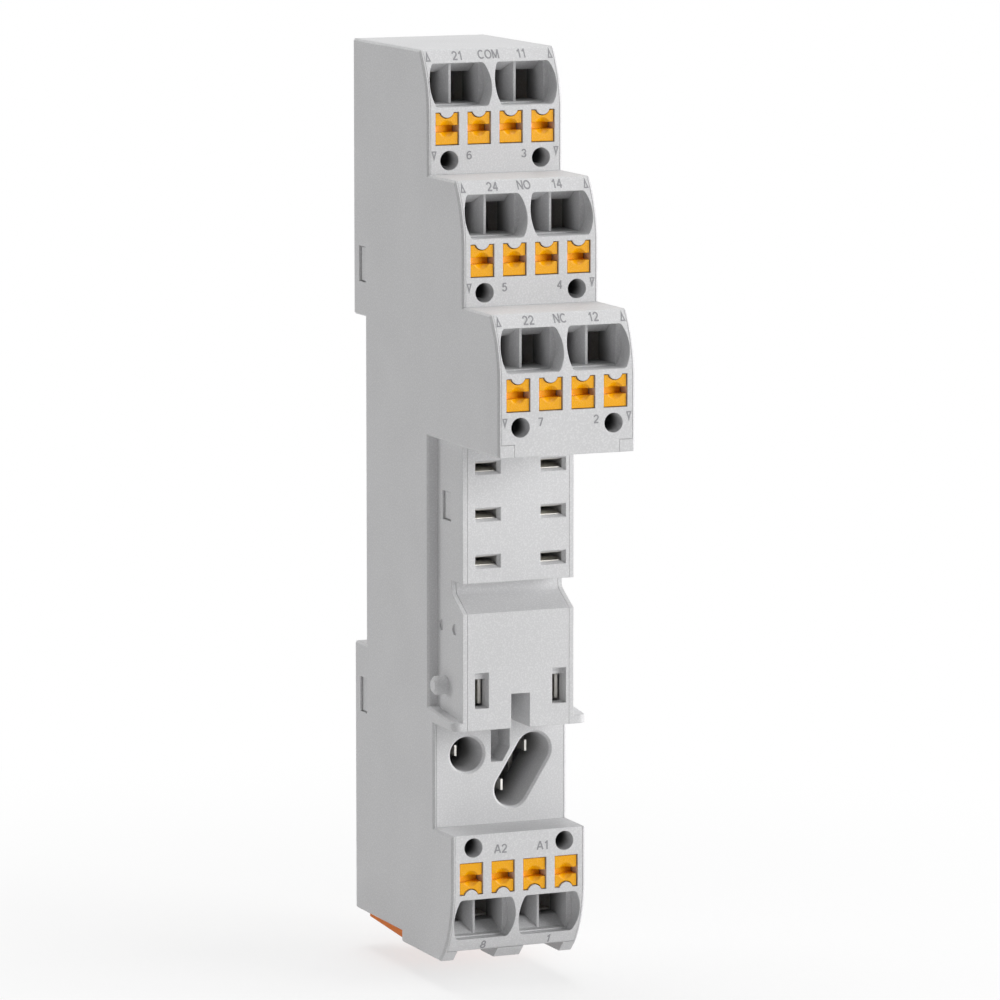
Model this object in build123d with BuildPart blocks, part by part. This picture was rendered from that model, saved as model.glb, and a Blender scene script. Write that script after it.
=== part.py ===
from build123d import *
from collections import namedtuple
from math import atan2, degrees, hypot
import os

os.makedirs("parts", exist_ok=True)

# A relay socket one module wide that clips onto a 35 mm rail.
# Frame: X across the module, front faces towards -Y, +Z up.
# The origin is on the rail seat, on the rail's centre line. Millimetres.

# Rail and its hooks
rail_height = 35.0
rail_play = 0.55
flange_thickness = 1.0
recess_depth = 3.35
hook_clearance = 0.15
hook_thickness = 1.5
hook_grip = 1.3
hook_width = 10.0

# Housing, from top to bottom
body_width = 15.5
relay_top = 7.2
tier_height = 13.05
last_tier_height = 14.7
relay_height = 30.8
lower_face_height = 11.3
coil_tier_height = 13.0

# How far each front face stands before the rail seat
com_front = 17.9
tier_step = 9.6
shoulder_front = 17.75
relay_front = 24.8
lower_front = 19.25
coil_front = 24.4

# Raked top of each terminal face
face_rake = 2.3
bend_drop = 7.0
edge_radius = 0.35

# Walls and seams
wall = 1.2
web_wall = 0.9
cover_wall = 0.9
cover_lip = 0.35
seam = 0.03
lower_face_wall = 7.0
block_depth = 7.0
edge_break = 0.22
bevel_taper = 45.0

# Feet under the coil terminals
foot_height = 1.2
foot_length = 12.0
foot_width = 1.6
middle_foot_width = 3.0

# Terminal pattern on every tier, measured from the raked edge
oval_inset = 1.42
oval_height = 4.55
oval_gap = 0.4
oval_margin = 0.48
oval_swell = 0.6
oval_corner = 0.45
oval_depth = 2.6
divider = 0.27
divider_depth = 3.6
entry_ledge = 0.05
entry_sill = 0.15
entry_width = 2.1
entry_height = 3.2
entry_drop = 0.5
entry_depth = 5.2
window_inset = 6.5
window_height = 3.5
window_web = 0.97
tab_radius = 0.77
tab_sunk = 0.2
tab_depth = 1.2
test_hole_inset = 11.6
test_hole_margin = 2.49
test_hole_radius = 1.04

# Push buttons
button_clearance = 0.09
button_side_gap = 0.075
button_recess = 0.15
collar_rise = 0.5
collar_thickness = 0.8
collar_gap = 0.1
tab_clearance = 0.1
tab_notch_depth = 2.0
dish_radius = 0.88
dish_depth = 0.52
slot_height = 0.74
slot_shallow = 0.6
slot_deep = 1.5
nose_inset = 0.45

# Clamp springs
spring_thickness = 0.35
spring_inset = 0.15
spring_loop_radius = 1.2
spring_foot_drop = 2.15
spring_knee_back = 0.25
spring_tip_inset = 1.25
spring_gap = 0.3

# Contacts
sheet = 0.5
side_gap = 0.15
cage_bend_radius = 0.7
cage_length = 6.85
cage_start = 0.5
cage_above_wire = 1.25
cage_tail = 4.3
strip_width = 2.0
strip_start_drop = 2.6
strip_lane = 0.85
nc_strip_front = 14.6

# Relay block
block_left = 6.62
block_right = 6.12
cheek_wall = 0.5
relay_column = 3.75
relay_row_drop = 7.72
relay_row_pitch = 5.0
relay_slot_width = 2.95
relay_slot_height = 1.5
slot_bevel = 0.25
slot_bevel_depth = 0.55
slot_lip = 0.7
relay_pocket_width = 3.0
relay_pocket_height = 2.8
fork_width = 2.3
fork_sheet = 0.35
fork_mouth = 0.85
fork_root = 0.5
fork_throat = 1.0
fork_spread = 0.6
fork_pinch = 0.36
coil_fork_mouth = 1.95
coil_fork_height = 2.6
coil_fork_spread = 0.5
coil_fork_pinch = 0.38
coil_column = 4.45
coil_slot_rise = 3.86
coil_slot_width = 1.6
coil_slot_height = 3.05
coil_head_height = 0.77
coil_head_depth = 0.8
coil_slot_lip = 1.8
coil_pocket_width = 2.3
coil_pocket_height = 3.6
groove_drop = 15.0
groove_height = 1.45
groove_slope = 1.8
groove_round = 0.9
groove_depth = 3.1
bottom_notch_width = 2.15
bottom_notch_height = 3.7

# Wings, pegs and snaps on the sides
wing_rise = 1.7
wing_tip = 0.9
wing_corner = 1.0
corner_lug_width = 1.8
corner_lug_height = 1.3
peg_front = 20.0
peg_rise = 4.3
peg_radius = 1.0
peg_length = 1.5
peg_chamfer = 0.3
dimple_rise = 10.6
dimple_fronts = (18.8, 22.5)
dimple_radius = 0.6
dimple_depth = 0.2
back_snap_front = -0.8
back_snap_rise = 5.65
back_snap_size = (1.9, 3.9)
block_snap_front = 20.4
block_snap_rise = 0.5
block_snap_size = (2.3, 3.1)
snap_clearance = 0.12
snap_rib = 0.4
snap_sunk = 0.25

# Function module openings in the lower face
module_hole_radius = 1.9
module_top_drop = 3.6
module_left = -3.85
module_right = 3.87
module_foot_shift = (-2.57, -4.1)
module_bevel = 0.25
key_width = 2.18
key_drop = 4.6
key_depth = 3.0
key_corner = 1.4
key_corner_width = 0.85
blade_sheet = 0.25
blade_height = 1.2
blade_depth = 2.7
blade_length = 7.0
blade_stem = 3.5
blade_bend_radius = 0.5

# Rail latch and its spring
latch_width = 6.0
latch_clearance = 0.2
latch_thickness = 1.9
latch_head_height = 3.5
latch_travel = 3.0
latch_foot_width = 14.0
latch_foot_reach = 9.9
latch_foot_thickness = 1.0
latch_foot_root = 0.4
latch_foot_slot = (4.0, 1.4)
latch_foot_slot_inset = 2.4
latch_window_width = 3.4
latch_window_drop = 8.5
latch_window_height = 19.0
latch_spring_length = 15.5
latch_spring_wire = 0.35
latch_spring_depth = 0.9
latch_spring_rows = 5
latch_spring_radius = 0.4
latch_peg_height = 1.0
guide_wall = 1.0
latch_lip = 0.8
latch_lip_height = 12.0

# Heights worked out from the driving sizes, above the rail's centre line
nc_bottom = relay_top
nc_top = nc_bottom + last_tier_height
no_top = nc_top + tier_height
com_top = no_top + tier_height
wing_bottom = relay_top - relay_height
coil_top = wing_bottom - lower_face_height
coil_bottom = coil_top - coil_tier_height
recess_half = rail_height / 2 + rail_play
relay_row_z = relay_top - relay_row_drop
groove_top_z = relay_top - groove_drop
coil_slot_z = wing_bottom + coil_slot_rise
peg_z = wing_bottom + peg_rise
dimple_z = wing_bottom + dimple_rise
back_snap_z = recess_half + back_snap_rise
block_snap_z = relay_row_z + block_snap_rise

# Relay pin rows and the openings for the function module
relay_rows = {"no": relay_row_z + relay_row_pitch, "com": relay_row_z, "nc": relay_row_z - relay_row_pitch}
module_top_z = wing_bottom - module_top_drop
module_low_x = module_right + module_foot_shift[0]
module_low_z = module_top_z + module_foot_shift[1]

# Widths worked out from the driving sizes
body_half = body_width / 2
moulding_half = body_half - cover_lip - seam
inner_half = body_half - cover_wall - seam
pole_pitch = (2 * (inner_half - button_side_gap) + window_web + 2 * button_clearance) / 4
pole_columns = [pole_pitch * step for step in (-1.5, -0.5, 0.5, 1.5)]
window_width = pole_pitch - window_web
button_width = window_width - 2 * button_clearance
oval_width = body_half - oval_margin - oval_gap / 2
oval_middle = (body_half - oval_margin + oval_gap / 2) / 2
test_hole_x = body_half - test_hole_margin
cage_inner = web_wall / 2 + side_gap
cage_outer = inner_half - side_gap
cage_middle = (cage_inner + cage_outer) / 2

strip_lanes = {
    "com": relay_column - strip_lane,
    "no": relay_column,
    "nc": relay_column + strip_lane,
    "coil": coil_column,
}

# Heights in the terminal pattern, from the raked edge
wire_inset = oval_inset + oval_height / 2
button_inset = window_inset + window_height / 2
cage_rise = button_inset - wire_inset + cage_above_wire
spring_tip_rise = cage_rise - sheet / 2 - spring_thickness / 2 - seam
spring_tip_back = cage_length - spring_tip_inset
spring_slope = (spring_tip_back - spring_knee_back) / (spring_tip_rise + spring_foot_drop)

# Levels of the rail latch
latch_face = flange_thickness - latch_thickness
channel_face = latch_face - latch_clearance
latch_channel_half = latch_width / 2 + latch_clearance
hook_face = flange_thickness + hook_clearance
hook_tip = rail_height / 2 - hook_grip
latch_shelf_z = -rail_height / 2 - hook_clearance
latch_head_bottom = latch_shelf_z - latch_head_height
latch_lip_top = latch_head_bottom - latch_travel - latch_clearance
latch_window_top = -rail_height / 2 - latch_window_drop
latch_peg_top = latch_window_top - latch_spring_length
guide_top = wall - rail_height / 2

Tier = namedtuple("Tier", "name front edge far way")
com = Tier("com", com_front, com_top, no_top, -1)
no = Tier("no", com_front + tier_step, no_top, nc_top, -1)
nc = Tier("nc", com_front + 2 * tier_step, nc_top, nc_bottom, -1)
coil = Tier("coil", coil_front, coil_bottom, coil_top, 1)
tiers = (com, no, nc, coil)
contact_tiers = (com, no, nc)


def save(builder, name):
    builder.part.label = name
    export_step(builder.part, f"parts/{name}.step")


def raked_face(tier):
    # The terminal face: an arc at the raked edge that runs into the flat lower part
    edge = (face_rake - tier.front, tier.edge)
    bend = (-tier.front, tier.edge + tier.way * bend_drop)
    TangentArc(bend, edge, tangent=(0, -tier.way))
    Line(bend, (-tier.front, tier.far))
    return edge


def housing_side():
    # Side outline of the whole housing, without its feet
    with BuildLine() as outline:
        start = (recess_depth, com_top)
        corner = start
        for tier in contact_tiers:
            Line(corner, raked_face(tier))
            corner = (-tier.front, tier.far)
        Line(corner, (-shoulder_front, nc_bottom))
        Line((-shoulder_front, nc_bottom), (-shoulder_front, wing_bottom))
        Line((-shoulder_front, wing_bottom), (-lower_front, wing_bottom))
        Line((-lower_front, wing_bottom), (-lower_front, coil_top))
        Line((-lower_front, coil_top), (-coil_front, coil_top))
        Line(raked_face(coil), (recess_depth, coil_bottom))
        Line((recess_depth, coil_bottom), (recess_depth, -recess_half))
        Line((recess_depth, -recess_half), (0, -recess_half))
        Line((0, -recess_half), (0, recess_half))
        Line((0, recess_half), (recess_depth, recess_half))
        Line((recess_depth, recess_half), start)
    make_face(outline.edges())


def block_side(tier):
    # Side outline of the solid block behind one terminal face
    back = block_depth - tier.front
    with BuildLine() as outline:
        edge = raked_face(tier)
        Line(edge, (back, tier.edge))
        Line((back, tier.edge), (back, tier.far))
        Line((back, tier.far), (-tier.front, tier.far))
    make_face(outline.edges())


def relay_side(back_front):
    # Side outline of the relay block, with the groove for the relay's foot
    groove_front = relay_front - groove_depth
    with BuildLine() as outline:
        Polyline(
            (-back_front, nc_bottom),
            (-relay_front, nc_bottom),
            (-relay_front, groove_top_z),
            (-groove_front, groove_top_z),
            (-groove_front, groove_top_z - groove_height),
            (-relay_front, groove_top_z - groove_height - groove_slope),
            (-relay_front, wing_bottom),
            (-back_front, wing_bottom),
            close=True,
        )
    make_face(outline.edges())


def round_groove(side):
    # Rounds the inner corner of the groove, where its back meets the slope
    point = (groove_depth - relay_front, groove_top_z - groove_height, 0)
    corner = side.sketch_local.vertices().sort_by_distance(point)[0]
    fillet(corner, groove_round)


def lower_plate_side():
    # Side outline of the thick plate behind the lower face
    with Locations(((lower_face_wall / 2) - lower_front, (wing_bottom + coil_top) / 2)):
        Rectangle(lower_face_wall, lower_face_height)


def band(front_low, front_high, z_low, z_high, mode=Mode.ADD):
    # A rectangle in the side view, given by its distances before the seat and its heights
    with Locations((-(front_low + front_high) / 2, (z_low + z_high) / 2)):
        Rectangle(front_high - front_low, z_high - z_low, mode=mode)


def round_raked_edges(outline, rounded_tiers):
    # Rounds the corner at the raked edge of each terminal face
    for tier in rounded_tiers:
        point = (face_rake - tier.front, tier.edge, 0)
        corner = outline.sketch_local.vertices().sort_by_distance(point)[0]
        fillet(corner, edge_radius)


def block_space(plane):
    # The side view of all that fills the housing's full width, with a seam round it
    with BuildSketch(plane) as space:
        for tier in tiers:
            block_side(tier)
        lower_plate_side()
        offset(amount=seam, kind=Kind.INTERSECTION)
    return space.sketch


def wing_side():
    # Side outline of the wing beside the relay block's lower end
    with BuildLine() as outline:
        Polyline(
            (wall - shoulder_front, wing_bottom),
            (-relay_front, wing_bottom),
            (-relay_front, wing_bottom + wing_tip),
            (-shoulder_front, wing_bottom + wing_rise),
            (wall - shoulder_front, wing_bottom + wing_rise),
            close=True,
        )
    make_face(outline.edges())


def corner_lug(gap):
    # Side outline of the piece of a cover that wraps round the lowest contact face's corner
    band(nc.front - wall, nc.front, nc_bottom, nc_bottom + corner_lug_height + gap)


def foot_side(length):
    # Side outline of a foot under the coil terminals, with a slanted nose
    nose = face_rake - coil.front
    with BuildLine() as outline:
        Polyline(
            (nose + length, coil_bottom),
            (nose + length, coil_bottom - foot_height),
            (nose + foot_height, coil_bottom - foot_height),
            (nose, coil_bottom),
            close=True,
        )
    make_face(outline.edges())


def wire_entries(tier):
    # Two barrel-shaped ovals, each with two funnels that narrow to wire holes nearer the buttons
    wire_z = tier.edge + tier.way * wire_inset
    hole_z = wire_z + tier.way * entry_drop
    low, high = wire_z - oval_height / 2, wire_z + oval_height / 2
    mouth_height = oval_height - 2 * entry_sill
    mouth_half = oval_width / 2 - entry_ledge - oval_swell
    for middle in (-oval_middle, oval_middle):
        left, right = middle - oval_width / 2, middle + oval_width / 2
        with BuildSketch(Plane.XZ.offset(tier.front)) as oval:
            with BuildLine() as outline:
                ThreePointArc((left + oval_swell, low), (left, wire_z), (left + oval_swell, high))
                Line((left + oval_swell, high), (right - oval_swell, high))
                ThreePointArc((right - oval_swell, high), (right, wire_z), (right - oval_swell, low))
                Line((right - oval_swell, low), (left + oval_swell, low))
            make_face(outline.edges())
            fillet(oval.vertices(), oval_corner)
        extrude(oval.sketch, amount=-oval_depth, mode=Mode.SUBTRACT)
        with BuildSketch(Plane.XZ.offset(tier.front - oval_depth)) as mouth:
            with Locations((middle, wire_z)):
                Rectangle(2 * mouth_half, mouth_height)
        extrude(mouth.sketch, amount=oval_depth - divider_depth, mode=Mode.SUBTRACT)
        for side in (-1, 1):
            mouth_x = middle + side * (mouth_half + divider / 2) / 2
            hole_x = middle + side * pole_pitch / 2
            with BuildSketch(Plane.XZ.offset(tier.front - divider_depth)) as wide_end:
                with Locations((mouth_x, wire_z)):
                    Rectangle(mouth_half - divider / 2, mouth_height)
            with BuildSketch(Plane.XZ.offset(tier.front - entry_depth)) as narrow_end:
                with Locations((hole_x, hole_z)):
                    Rectangle(entry_width, entry_height)
            loft([wide_end.sketch.face(), narrow_end.sketch.face()], ruled=True, mode=Mode.SUBTRACT)
            extrude(narrow_end.sketch, amount=entry_depth - block_depth, mode=Mode.SUBTRACT)


def button_channels(tier):
    # Four windows, each narrowed at its mouth by a round tab
    window_z = tier.edge + tier.way * button_inset
    tab_z = tier.edge + tier.way * (window_inset - tab_sunk)
    for x in pole_columns:
        with BuildSketch(Plane.XZ.offset(tier.front)) as mouth:
            with Locations((x, window_z)):
                Rectangle(window_width, window_height)
            with Locations((x, tab_z)):
                Circle(tab_radius, mode=Mode.SUBTRACT)
        extrude(mouth.sketch, amount=-tab_depth, mode=Mode.SUBTRACT)
        with BuildSketch(Plane.XZ.offset(tier.front - tab_depth)) as channel:
            with Locations((x, window_z)):
                Rectangle(window_width, window_height)
        extrude(channel.sketch, amount=tab_depth - block_depth, mode=Mode.SUBTRACT)


def test_holes(tier):
    # One probe hole beside each contact's buttons
    hole_z = tier.edge + tier.way * test_hole_inset
    with BuildSketch(Plane.XZ.offset(tier.front)) as holes:
        with Locations((-test_hole_x, hole_z), (test_hole_x, hole_z)):
            Circle(test_hole_radius)
    extrude(holes.sketch, amount=-block_depth, mode=Mode.SUBTRACT)


def terminal_front(tier, shelves):
    # One moulding: the face block and the walls that run back from it
    with BuildPart() as moulding:
        with BuildSketch(Plane.YZ) as side:
            block_side(tier)
            for shelf in shelves:
                band(*shelf)
            round_raked_edges(side, [tier])
        extrude(side.sketch, amount=moulding_half, both=True)
        wire_entries(tier)
        button_channels(tier)
        test_holes(tier)
    return moulding


# Terminal fronts. Each roof runs back under the tier above, and the last one has a floor.
com_roof = (-recess_depth, com.front - block_depth, com_top - wall, com_top)
no_roof = (com.front - wall, no.front - block_depth, no_top - wall, no_top)
nc_roof = (no.front - wall, nc.front - block_depth, nc_top - wall, nc_top)
nc_floor = (shoulder_front - wall, nc.front - block_depth, nc_bottom, nc_bottom + wall)
save(terminal_front(com, [com_roof]), "terminal_front_com")
save(terminal_front(no, [no_roof]), "terminal_front_no")

with BuildPart() as nc_terminal_front:
    add(terminal_front(nc, [nc_roof, nc_floor]).part)
    for side in (-1, 1):
        with BuildSketch(Plane.YZ.offset(side * body_half)) as corner:
            corner_lug(seam)
        reach = corner_lug_width + seam
        extrude(corner.sketch, amount=-side * reach, mode=Mode.SUBTRACT)
save(nc_terminal_front, "terminal_front_nc")

with BuildPart() as coil_terminal_front:
    add(terminal_front(coil, []).part)
    with BuildSketch(Plane.YZ):
        foot_side(coil.front - face_rake - (coil.front - block_depth))
    extrude(amount=middle_foot_width / 2, both=True)
save(coil_terminal_front, "terminal_front_coil")


def module_openings(radius):
    # The round and the long slanted opening for the function module's legs
    middle = ((module_right + module_low_x) / 2, (module_top_z + module_low_z) / 2)
    angle = degrees(atan2(module_foot_shift[1], module_foot_shift[0]))
    with Locations((module_left, module_top_z)):
        Circle(radius)
    with Locations(Location(middle, angle)):
        SlotCenterToCenter(hypot(*module_foot_shift), 2 * radius)


# Relay block: the face that takes the relay's pins, and the plate below it
relay_slots = [(x, z) for x in (-relay_column, relay_column) for z in relay_rows.values()]
coil_slots = [(-coil_column, coil_slot_z), (coil_column, coil_slot_z)]
with BuildPart() as relay_block:
    with BuildSketch(Plane.YZ.offset(cheek_wall + seam - block_left)) as block:
        relay_side(relay_front - block_depth)
        round_groove(block)
    extrude(amount=block_left + block_right - 2 * (cheek_wall + seam))
    with BuildSketch(Plane.YZ.offset(snap_sunk - block_left)):
        with Locations((-block_snap_front, block_snap_z)):
            Rectangle(*[size - 2 * snap_clearance for size in block_snap_size])
    extrude(amount=block_left + block_right - 2 * snap_sunk)
    with BuildSketch(Plane.YZ):
        lower_plate_side()
    extrude(amount=moulding_half, both=True)
    with BuildSketch(Plane.XZ.offset(relay_front)):
        with Locations(*relay_slots):
            Rectangle(relay_slot_width, relay_slot_height)
    bevel_angle = degrees(atan2(slot_bevel, slot_bevel_depth))
    extrude(amount=-slot_bevel_depth, taper=bevel_angle, mode=Mode.SUBTRACT)
    with BuildSketch(Plane.XZ.offset(relay_front)):
        with Locations(*relay_slots):
            Rectangle(relay_slot_width - 2 * slot_bevel, relay_slot_height - 2 * slot_bevel)
    extrude(amount=-slot_lip, mode=Mode.SUBTRACT)
    with BuildSketch(Plane.XZ.offset(relay_front - slot_lip)):
        with Locations(*relay_slots):
            Rectangle(relay_pocket_width, relay_pocket_height)
    extrude(amount=slot_lip - block_depth, mode=Mode.SUBTRACT)
    with BuildSketch(Plane.XZ.offset(relay_front)):
        with Locations(*coil_slots):
            Rectangle(coil_slot_width, coil_slot_height)
    extrude(amount=-coil_slot_lip, mode=Mode.SUBTRACT)
    with BuildSketch(Plane.XZ.offset(relay_front)):
        with Locations(*[(x, z + (coil_slot_height + coil_head_height) / 2) for x, z in coil_slots]):
            Rectangle(coil_slot_width, coil_head_height)
    extrude(amount=-coil_head_depth, mode=Mode.SUBTRACT)
    with BuildSketch(Plane.XZ.offset(relay_front - coil_slot_lip)):
        with Locations(*coil_slots):
            Rectangle(coil_pocket_width, coil_pocket_height)
    extrude(amount=coil_slot_lip - block_depth, mode=Mode.SUBTRACT)
    with BuildSketch(Plane.XZ.offset(relay_front)):
        with Locations((0, wing_bottom + bottom_notch_height / 2)):
            Rectangle(bottom_notch_width, bottom_notch_height)
    extrude(amount=lower_front - relay_front, mode=Mode.SUBTRACT)
    with BuildSketch(Plane.XZ.offset(lower_front)):
        module_openings(module_hole_radius)
    extrude(amount=-lower_face_wall, mode=Mode.SUBTRACT)
    with BuildSketch(Plane.XZ.offset(lower_front)):
        module_openings(module_hole_radius + module_bevel)
    extrude(amount=-module_bevel, taper=bevel_taper, mode=Mode.SUBTRACT)
    with BuildSketch(Plane.XZ.offset(lower_front)):
        with BuildLine():
            Polyline(
                (-key_width / 2, wing_bottom),
                (key_width / 2, wing_bottom),
                (key_width / 2, wing_bottom - key_drop + key_corner),
                (key_width / 2 - key_corner_width, wing_bottom - key_drop),
                (-key_width / 2, wing_bottom - key_drop),
                close=True,
            )
        make_face()
    extrude(amount=-key_depth, mode=Mode.SUBTRACT)
save(relay_block, "relay_block")

# What the inside of the housing is bounded by, in the side view
with BuildSketch(Plane.YZ) as hollow:
    housing_side()
    offset(amount=-wall, kind=Kind.INTERSECTION)

# Centre frame: back wall with the rail recess, floor, middle web and latch guide
with BuildPart() as centre_frame:
    with BuildSketch(Plane.YZ) as back_and_floor:
        housing_side()
    extrude(back_and_floor.sketch, amount=moulding_half, both=True)
    extrude(hollow.sketch, amount=moulding_half, both=True, mode=Mode.SUBTRACT)
    with BuildSketch(Plane.YZ) as kept:
        band(-recess_depth, 2 * wall, coil_bottom, com_top - wall - seam)
        band(-recess_depth, coil_front - block_depth - seam, coil_bottom, coil_bottom + wall)
    extrude(kept.sketch, amount=body_half, both=True, mode=Mode.INTERSECT)
    extrude(hollow.sketch, amount=web_wall / 2, both=True)
    with BuildSketch(Plane.YZ) as web_front:
        band(0, relay_front - block_depth - seam, wing_bottom, nc_bottom)
    extrude(web_front.sketch, amount=web_wall / 2, both=True)
    extrude(block_space(Plane.YZ), amount=body_half, both=True, mode=Mode.SUBTRACT)
    for way in (-1, 1):
        rib_height = back_snap_size[1] + 2 * snap_rib
        rib_front = back_snap_front + back_snap_size[0] / 2 + snap_rib
        with BuildSketch(Plane.YZ) as rib:
            snap_z = way * back_snap_z
            band(-recess_depth + seam, rib_front, snap_z - rib_height / 2, snap_z + rib_height / 2)
        extrude(rib.sketch, amount=inner_half, both=True)
        with BuildSketch(Plane.YZ) as lug:
            with Locations((-back_snap_front, way * back_snap_z)):
                Rectangle(*[size - 2 * snap_clearance for size in back_snap_size])
        extrude(lug.sketch, amount=body_half - snap_sunk, both=True)
    with BuildSketch(Plane.YZ) as guide:
        band(-recess_depth, guide_wall - channel_face, coil_bottom, -recess_half)
        band(0, guide_wall - channel_face, -recess_half, guide_top)
    extrude(guide.sketch, amount=latch_channel_half + guide_wall, both=True)
    with BuildSketch(Plane.YZ) as channel:
        band(-recess_depth, -channel_face, coil_bottom, latch_shelf_z + latch_clearance)
    extrude(channel.sketch, amount=latch_channel_half, both=True, mode=Mode.SUBTRACT)
    lip_face = flange_thickness + latch_clearance
    lip_x = latch_channel_half - latch_lip / 2
    lip_y = (recess_depth + lip_face) / 2
    with BuildSketch(Plane.XY.offset(latch_lip_top)) as lips:
        with Locations((-lip_x, lip_y), (lip_x, lip_y)):
            Rectangle(latch_lip, recess_depth - lip_face)
    extrude(lips.sketch, amount=-latch_lip_height)
    with BuildSketch(Plane.YZ) as peg:
        peg_bottom = latch_peg_top - latch_peg_height
        band(latch_clearance - flange_thickness, -channel_face, peg_bottom, latch_peg_top)
    extrude(peg.sketch, amount=latch_window_width / 2 - latch_clearance, both=True)
    with BuildSketch(Plane.YZ) as hook:
        with BuildLine() as hook_line:
            Polyline(
                (hook_face, recess_half),
                (hook_face, hook_tip),
                (hook_face + hook_thickness / 2, hook_tip),
                (hook_face + hook_thickness, hook_tip + hook_thickness / 2),
                (hook_face + hook_thickness, recess_half),
                close=True,
            )
        make_face(hook_line.edges())
    extrude(hook.sketch, amount=hook_width / 2, both=True)
save(centre_frame, "centre_frame")


def side_cover(block_half):
    # The cover on the left: thin at the front edges, stepped in beside the relay block
    with BuildPart() as cover:
        inner_plane = Plane.YZ.offset(cover_lip - body_half)
        with BuildSketch(inner_plane) as inner_plate:
            housing_side()
            offset(amount=-(wall + seam), kind=Kind.INTERSECTION)
        extrude(inner_plate.sketch, amount=cover_wall - cover_lip)
        extrude(block_space(inner_plane), amount=cover_wall - cover_lip, mode=Mode.SUBTRACT)
        with BuildSketch(Plane.YZ.offset(edge_break - body_half)) as skin:
            housing_side()
            wing_side()
            foot_side(foot_length)
            round_raked_edges(skin, tiers)
        extrude(skin.sketch, amount=cover_lip - edge_break)
        extrude(skin.sketch, amount=-edge_break, taper=bevel_taper)
        with BuildSketch(Plane.YZ.offset(edge_break - body_half)) as corner:
            corner_lug(0)
        extrude(corner.sketch, amount=corner_lug_width - edge_break)
        with BuildSketch(Plane.YZ.offset(-block_half)) as cheek:
            relay_side(shoulder_front - wall)
            round_groove(cheek)
        extrude(cheek.sketch, amount=cheek_wall)
        with BuildSketch(Plane.YZ.offset(edge_break - body_half)) as shoulder:
            band(shoulder_front - wall, shoulder_front, wing_bottom, nc_bottom)
        extrude(shoulder.sketch, amount=body_half - edge_break - block_half + cheek_wall)
        with BuildSketch(Plane.YZ.offset(edge_break - body_half)) as wing:
            wing_side()
        extrude(wing.sketch, amount=body_half - edge_break - block_half)
        with BuildSketch(Plane.XY.offset(wing_bottom)) as wing_cut:
            with Locations((wing_corner / 2 - body_half, wing_corner / 2 - relay_front)):
                Rectangle(wing_corner, wing_corner)
            with Locations((wing_corner - body_half, wing_corner - relay_front)):
                Circle(wing_corner, mode=Mode.SUBTRACT)
        extrude(wing_cut.sketch, amount=wing_rise, mode=Mode.SUBTRACT)
        with BuildSketch(Plane.YZ.offset(-block_half)) as peg:
            with Locations((-peg_front, peg_z)):
                Circle(peg_radius)
        extrude(peg.sketch, amount=-peg_length)
        peg_end = (-block_half - peg_length, -peg_front, peg_z)
        chamfer(cover.faces().sort_by_distance(peg_end)[0].edges(), peg_chamfer)
        with BuildSketch(Plane.YZ.offset(-block_half)) as dimples:
            with Locations(*[(-front, dimple_z) for front in dimple_fronts]):
                Circle(dimple_radius)
        extrude(dimples.sketch, amount=dimple_depth, mode=Mode.SUBTRACT)
        with BuildSketch(Plane.YZ.offset(edge_break - body_half)) as foot:
            foot_side(foot_length)
        extrude(foot.sketch, amount=foot_width - edge_break)
        with BuildSketch(Plane.YZ.offset(-body_half)) as windows:
            with Locations((-back_snap_front, back_snap_z), (-back_snap_front, -back_snap_z)):
                Rectangle(*back_snap_size)
        extrude(windows.sketch, amount=cover_wall, mode=Mode.SUBTRACT)
        with BuildSketch(Plane.YZ.offset(-block_half)) as block_window:
            with Locations((-block_snap_front, block_snap_z)):
                Rectangle(*block_snap_size)
        extrude(block_window.sketch, amount=cheek_wall, mode=Mode.SUBTRACT)
    return cover


# Side covers. The relay block stands a little to the left, so its cheeks differ.
save(side_cover(block_left), "left_cover")

with BuildPart() as right_cover:
    add(mirror(side_cover(block_right).part, about=Plane.YZ, mode=Mode.PRIVATE))
save(right_cover, "right_cover")


def clamp_point(tier, back, rise):
    # A point behind a face block: its distance back and its rise from the button towards the wire
    button_z = tier.edge + tier.way * button_inset
    return (back + block_depth - tier.front, button_z - tier.way * rise)


def nose_reach(rise):
    # How far back the nose may reach at one height, a gap before the clamping leg
    leg = spring_knee_back + (rise + spring_foot_drop) * spring_slope
    return leg - spring_thickness / 2 * hypot(1, spring_slope) - spring_gap


def nose_height(back):
    # The height at which the nose's slanted face reaches a distance back
    return (back - nose_reach(0)) / spring_slope


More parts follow.
